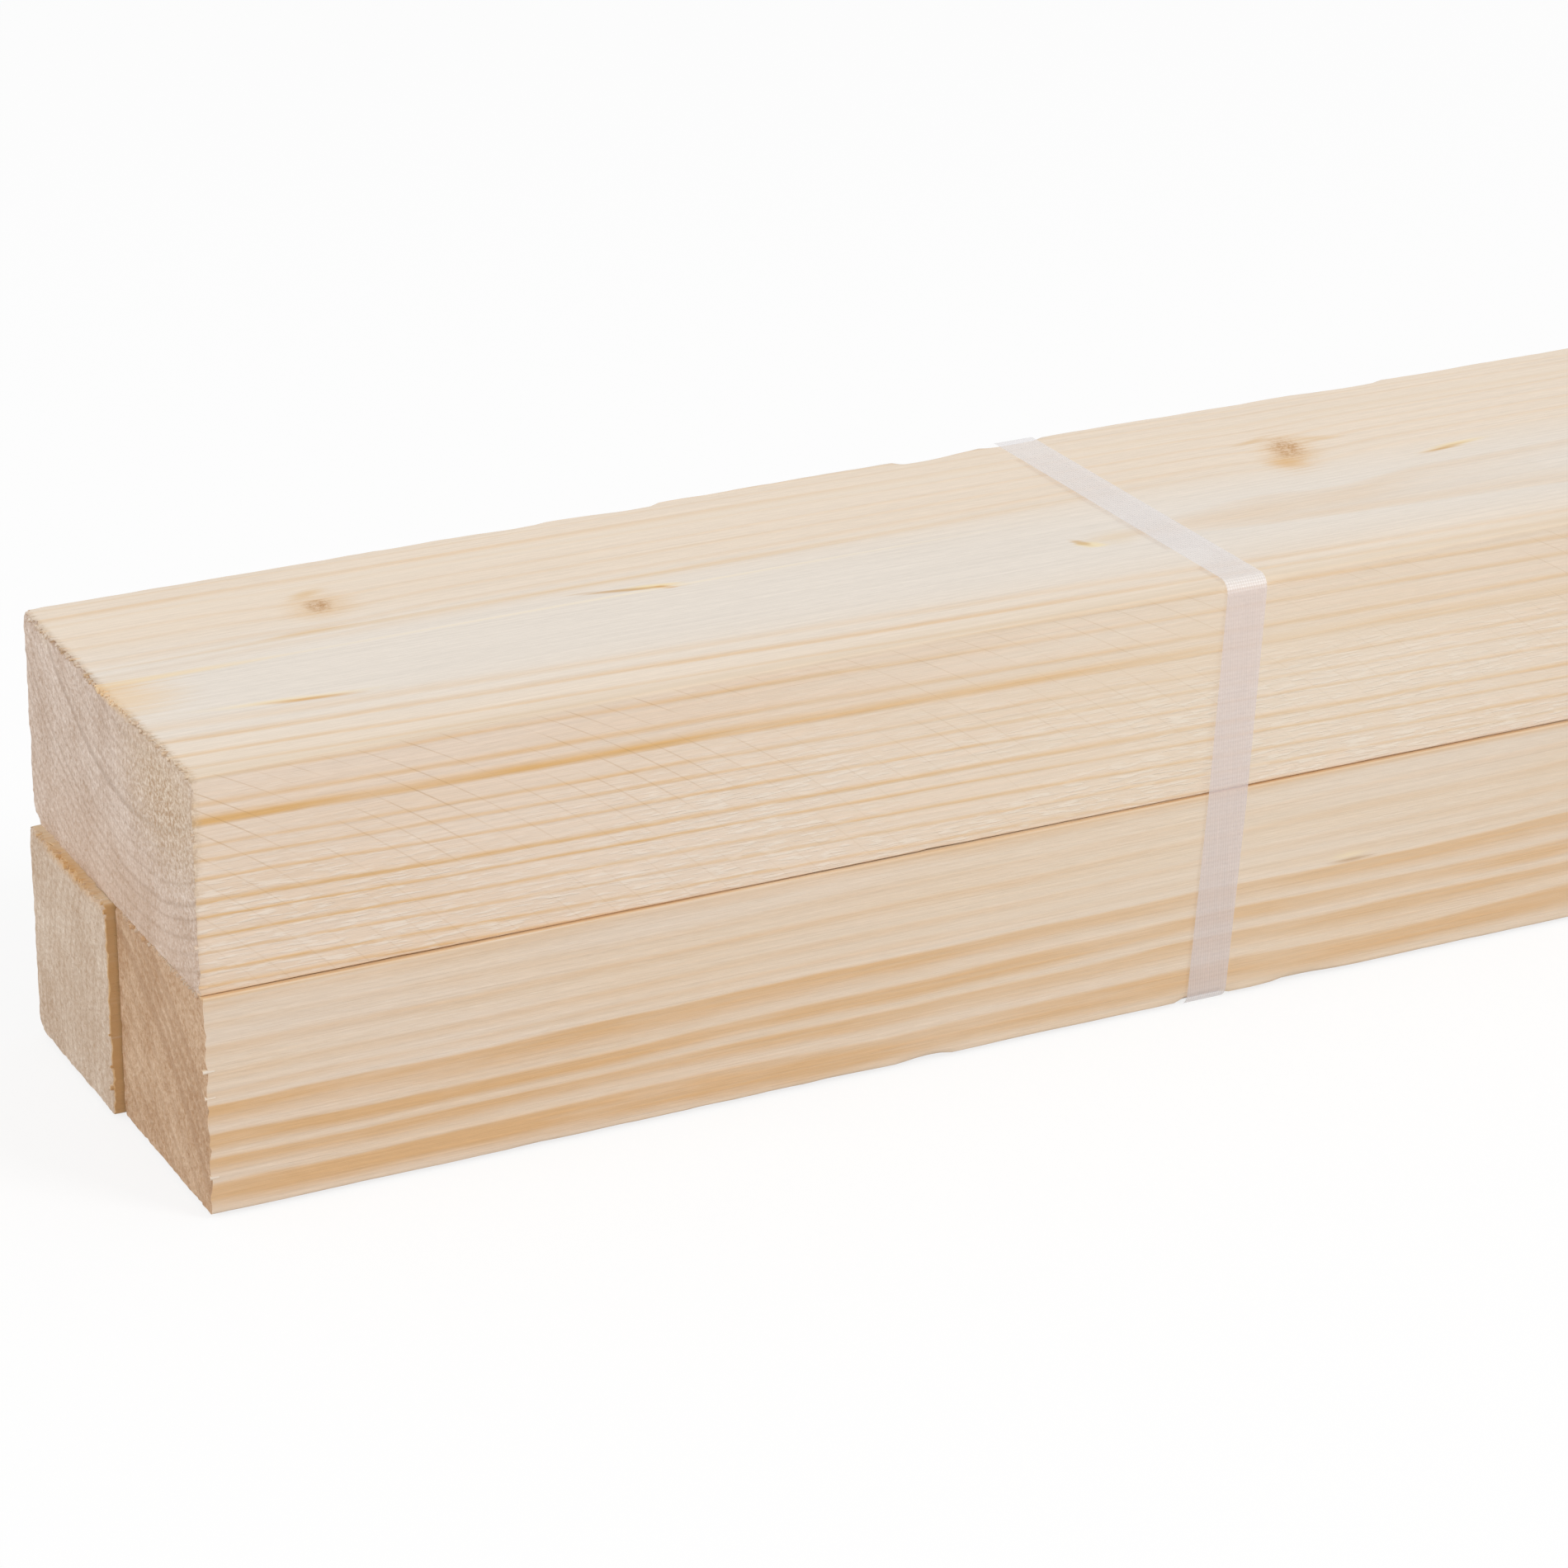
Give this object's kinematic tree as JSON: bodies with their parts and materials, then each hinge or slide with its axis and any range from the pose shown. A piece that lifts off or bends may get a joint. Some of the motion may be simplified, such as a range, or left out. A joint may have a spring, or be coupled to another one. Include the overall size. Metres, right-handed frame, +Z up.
{
  "type": "bundle of fir battens",
  "caption": "Strapped bundle of rough-sawn fir battens, a wide batten lying flat on square ones, for roofing, cladding and general carpentry.",
  "frame": {"origin": "middle of the bundle's footprint, at the level that the straps' undersides rest on", "axes": "+X along the battens, away from the sawn end with the staggered ends, +Y from the front face to the back face, +Z up through the wide batten"},
  "size_m": [2.0012, 0.053, 0.0504],
  "materials": {
    "fir_wide": "rough sawn",
    "fir_front": "rough sawn",
    "fir_back": "rough sawn",
    "strap": "embossed natural polypropylene"
  },
  "bodies": {
    "root": {"wide_batten": "fir_wide", "back_batten": "fir_back", "front_batten": "fir_front", "near_strap": "strap", "far_strap": "strap"}
  },
  "joints": []
}
